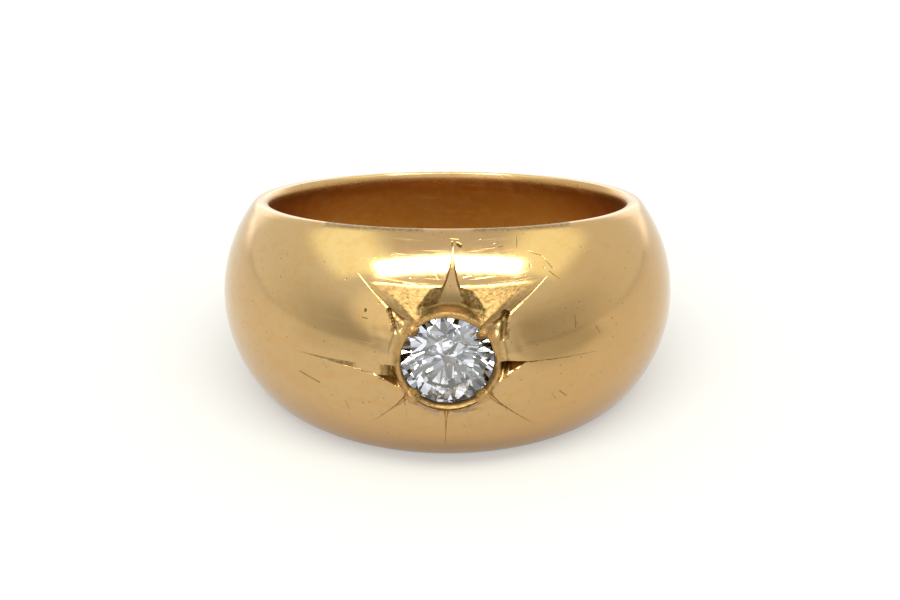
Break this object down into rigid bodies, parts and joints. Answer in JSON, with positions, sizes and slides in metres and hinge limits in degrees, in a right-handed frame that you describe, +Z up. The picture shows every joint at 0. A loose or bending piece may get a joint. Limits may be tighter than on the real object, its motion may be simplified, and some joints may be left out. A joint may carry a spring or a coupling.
{
  "type": "ring",
  "caption": "Domed gold ring that tapers to the back, with a round brilliant sunk in a rayed star at the front.",
  "frame": {"origin": "on the surface that the ring lies on, under the middle of its outer length and width", "axes": "-Y towards the stone, +Z up from the lower rim; the finger hole's axis leans back from +Z by the rims' taper"},
  "size_m": [0.0236, 0.0238, 0.0119],
  "materials": {
    "gold": "polished",
    "diamond": "polished"
  },
  "bodies": {
    "root": {"band": "gold", "diamond": "diamond"}
  },
  "joints": []
}
